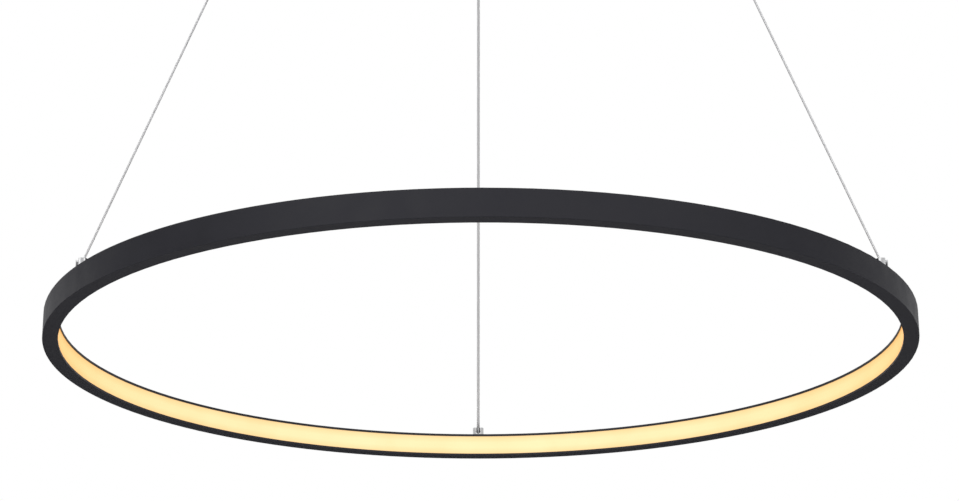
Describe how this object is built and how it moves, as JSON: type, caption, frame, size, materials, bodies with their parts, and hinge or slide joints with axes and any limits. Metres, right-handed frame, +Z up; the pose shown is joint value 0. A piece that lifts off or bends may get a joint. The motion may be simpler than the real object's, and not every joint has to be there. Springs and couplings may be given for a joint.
{
  "type": "led ring pendant light",
  "caption": "Thin black ring lamp, lit on its inner face, hung level on slanting wires from a round ceiling canopy with swivelling wire grippers.",
  "frame": {"origin": "centre of the bracket's top face, where the pendant meets the ceiling", "axes": "+Z up, the lamp hangs in -Z; +Y points to the line that carries the feed, -Y is the front"},
  "size_m": [0.8, 0.8, 0.8559],
  "materials": {
    "black_paint": "matt powder coat",
    "opal": "opal, lit from behind",
    "strip": "white circuit film",
    "chip": "phosphor",
    "steel_line": "stranded",
    "clear_sheath": "clear plastic",
    "tinned_copper": "tinned",
    "nickel": "polished",
    "gripper_metal": "polished",
    "jaw_steel": "hardened",
    "spring_steel": "bright",
    "socket_paint": "matt powder coat",
    "liner_plastic": "natural",
    "zinc": "zinc plated",
    "driver_plastic": "white",
    "board": "solder mask",
    "winding": "taped",
    "can": "sleeved",
    "lead_cover": "insulated"
  },
  "bodies": {
    "canopy": {"mounting_bracket": "zinc", "canopy_cup": "black_paint", "canopy_screws": "zinc", "earth_screw": "zinc", "terminal_fixing": "zinc", "driver_nuts": "zinc", "driver_case": "driver_plastic", "driver_cover": "driver_plastic", "driver_board": "board", "driver_transformer": "winding", "driver_capacitors": "can", "terminal_block": "driver_plastic", "terminal_screws": "zinc", "mains_leads": "lead_cover", "supply_leads": "lead_cover", "lead_splices": "zinc", "swivel_sockets": "socket_paint", "socket_nuts": "zinc"},
    "liner_back": {"swivel_liner_back": "liner_plastic"},
    "liner_left": {"swivel_liner_left": "liner_plastic"},
    "liner_right": {"swivel_liner_right": "liner_plastic"},
    "hanger_back": {"feed_sheath": "clear_sheath", "feed_core": "steel_line", "feed_conductors": "tinned_copper"},
    "gripper_back": {"gripper_body_back": "gripper_metal", "gripper_nose_back": "gripper_metal", "gripper_spring_back": "spring_steel"},
    "hanger_left": {"suspension_wire_left": "steel_line"},
    "gripper_left": {"gripper_body_left": "gripper_metal", "gripper_nose_left": "gripper_metal", "gripper_spring_left": "spring_steel"},
    "hanger_right": {"suspension_wire_right": "steel_line"},
    "gripper_right": {"gripper_body_right": "gripper_metal", "gripper_nose_right": "gripper_metal", "gripper_spring_right": "spring_steel"},
    "plunger_back": {"gripper_plunger_back": "gripper_metal", "gripper_jaws_back": "jaw_steel"},
    "plunger_left": {"gripper_plunger_left": "gripper_metal", "gripper_jaws_left": "jaw_steel"},
    "plunger_right": {"gripper_plunger_right": "gripper_metal", "gripper_jaws_right": "jaw_steel"},
    "feed_end": {"lead_bush": "liner_plastic"},
    "pin_back": {"anchor_pin_back": "nickel"},
    "ring": {"ring_channel": "black_paint", "diffuser": "opal", "led_strip": "strip", "led_chips": "chip", "ring_leads": "lead_cover", "anchor_studs": "nickel", "anchor_nuts": "zinc", "anchor_pin_left": "nickel", "anchor_pin_right": "nickel"},
    "ferrule_back": {"line_ferrule_back": "nickel"},
    "ferrule_left": {"line_ferrule_left": "nickel"},
    "ferrule_right": {"line_ferrule_right": "nickel"}
  },
  "joints": [
    {"name": "swing_fore_aft", "type": "hinge", "parent": "canopy", "child": "liner_back", "pos_m": [0, 0.08, -0.0375], "axis": [1, 0, 0], "range_deg": [-4, 4]},
    {"name": "swing_sideways", "type": "hinge", "parent": "liner_back", "child": "hanger_back", "pos_m": [0, 0.08, -0.0375], "axis": [0, 1, 0], "range_deg": [-4, 4]},
    {"name": "swing_fore_aft_left", "type": "hinge", "parent": "canopy", "child": "liner_left", "pos_m": [-0.06928, -0.04, -0.0375], "axis": [1, 0, 0], "range_deg": [-4, 4]},
    {"name": "swing_sideways_left", "type": "hinge", "parent": "liner_left", "child": "hanger_left", "pos_m": [-0.06928, -0.04, -0.0375], "axis": [0, 1, 0], "range_deg": [-4, 4]},
    {"name": "swing_fore_aft_right", "type": "hinge", "parent": "canopy", "child": "liner_right", "pos_m": [0.06928, -0.04, -0.0375], "axis": [1, 0, 0], "range_deg": [-4, 4]},
    {"name": "swing_sideways_right", "type": "hinge", "parent": "liner_right", "child": "hanger_right", "pos_m": [0.06928, -0.04, -0.0375], "axis": [0, 1, 0], "range_deg": [-4, 4]},
    {"name": "hang_height", "type": "slide", "parent": "hanger_back", "child": "feed_end", "axis": [0, 0, 1], "range_m": [0, 0.25], "deforming": ["suspension_wire_left", "suspension_wire_right", "feed_sheath", "feed_core", "feed_conductors"]},
    {"name": "level_sideways", "type": "hinge", "parent": "feed_end", "child": "pin_back", "pos_m": [0, 0.393, -0.8275], "axis": [0, 1, 0], "range_deg": [-0.9, 0.9]},
    {"name": "level_fore_aft", "type": "hinge", "parent": "pin_back", "child": "ring", "pos_m": [0, 0.393, -0.8275], "axis": [1, 0, 0], "range_deg": [-0.9, 0.9]},
    {"name": "tilt_back", "type": "hinge", "parent": "hanger_back", "child": "gripper_back", "pos_m": [0, 0.08, -0.0375], "axis": [1, 0, 0], "range_deg": [0, 8.5]},
    {"name": "foot_back", "type": "hinge", "parent": "feed_end", "child": "ferrule_back", "pos_m": [0, 0.393, -0.8275], "axis": [1, 0, 0], "range_deg": [0, 8.5]},
    {"name": "release_back", "type": "slide", "parent": "gripper_back", "child": "plunger_back", "axis": [0, -0.3683, 0.9297], "range_m": [0, 0.0016], "stiffness_N_per_m": 1500, "springref_m": -0.002, "deforming": ["gripper_spring_back"]},
    {"name": "tilt_left", "type": "hinge", "parent": "hanger_left", "child": "gripper_left", "pos_m": [-0.06928, -0.04, -0.0375], "axis": [-0.5, 0.866, 0], "range_deg": [0, 8.5]},
    {"name": "foot_left", "type": "hinge", "parent": "ring", "child": "ferrule_left", "pos_m": [-0.34035, -0.1965, -0.8275], "axis": [-0.5, 0.866, 0], "range_deg": [0, 8.5]},
    {"name": "release_left", "type": "slide", "parent": "gripper_left", "child": "plunger_left", "axis": [0.319, 0.1842, 0.9297], "range_m": [0, 0.0016], "stiffness_N_per_m": 1500, "springref_m": -0.002, "deforming": ["gripper_spring_left"]},
    {"name": "tilt_right", "type": "hinge", "parent": "hanger_right", "child": "gripper_right", "pos_m": [0.06928, -0.04, -0.0375], "axis": [-0.5, -0.866, 0], "range_deg": [0, 8.5]},
    {"name": "foot_right", "type": "hinge", "parent": "ring", "child": "ferrule_right", "pos_m": [0.34035, -0.1965, -0.8275], "axis": [-0.5, -0.866, 0], "range_deg": [0, 8.5]},
    {"name": "release_right", "type": "slide", "parent": "gripper_right", "child": "plunger_right", "axis": [-0.319, 0.1842, 0.9297], "range_m": [0, 0.0016], "stiffness_N_per_m": 1500, "springref_m": -0.002, "deforming": ["gripper_spring_right"]}
  ],
  "couplings": [
    {"joint": "swing_fore_aft_left", "follows": "swing_fore_aft", "ratio": 1},
    {"joint": "swing_sideways_left", "follows": "swing_sideways", "ratio": 1},
    {"joint": "swing_fore_aft_right", "follows": "swing_fore_aft", "ratio": 1},
    {"joint": "swing_sideways_right", "follows": "swing_sideways", "ratio": 1},
    {"joint": "level_sideways", "follows": "swing_sideways", "ratio": -0.20356},
    {"joint": "level_fore_aft", "follows": "swing_fore_aft", "ratio": -0.20356},
    {"joint": "tilt_back", "follows": "hang_height", "rad_per_m": 0.59231},
    {"joint": "foot_back", "follows": "hang_height", "rad_per_m": 0.59231},
    {"joint": "tilt_left", "follows": "hang_height", "rad_per_m": 0.59231},
    {"joint": "foot_left", "follows": "hang_height", "rad_per_m": 0.59231},
    {"joint": "tilt_right", "follows": "hang_height", "rad_per_m": 0.59231},
    {"joint": "foot_right", "follows": "hang_height", "rad_per_m": 0.59231}
  ]
}
